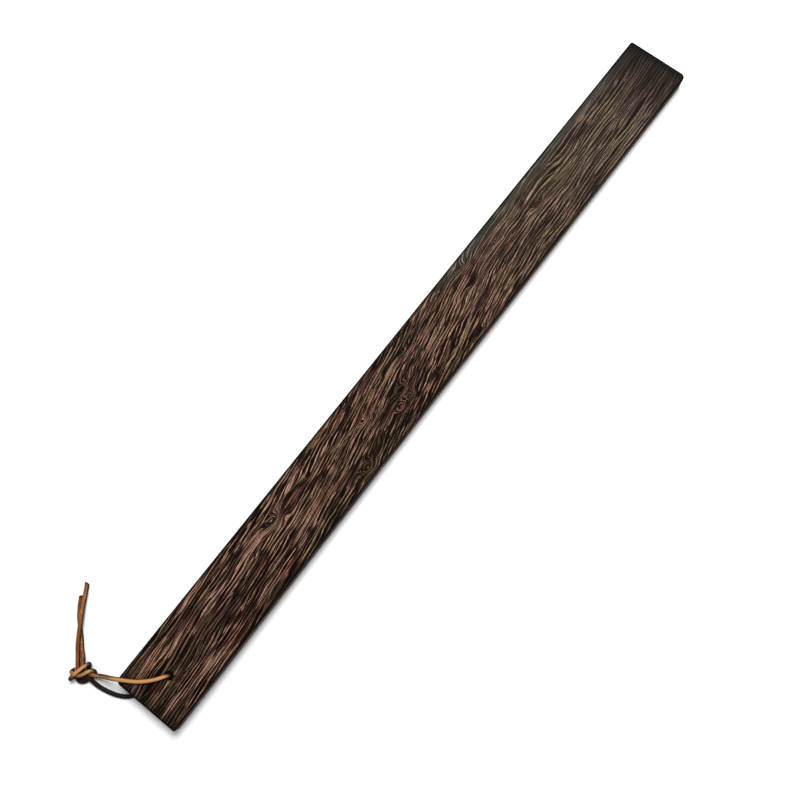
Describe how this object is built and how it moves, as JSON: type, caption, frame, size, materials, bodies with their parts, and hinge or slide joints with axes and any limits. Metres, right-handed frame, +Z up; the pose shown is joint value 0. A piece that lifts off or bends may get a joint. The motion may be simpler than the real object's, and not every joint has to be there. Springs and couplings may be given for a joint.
{
  "type": "flat wooden striking slat",
  "caption": "Flat dark hardwood slat with softened edges, and a knotted leather hanging thong through a hole near its end.",
  "frame": {"origin": "on the surface that the slat and its thong lie on, under the middle of the slat", "axes": "+X along the slat from the end with the hole to the other end, +Y across it towards the side where the thong lies, +Z up"},
  "size_m": [0.5164, 0.0935, 0.0162],
  "materials": {
    "slat_wood": "fine-sawn and oiled, satin",
    "thong_leather": "round natural leather cord, satin",
    "thong_leather_dark": "darkened stretch of the same cord, satin"
  },
  "bodies": {
    "root": {"slat": "slat_wood", "thong_upper_leg": "thong_leather", "thong_lower_leg": "thong_leather_dark", "thong_knot": "thong_leather", "thong_long_tail": "thong_leather", "thong_short_tail": "thong_leather"}
  },
  "joints": []
}
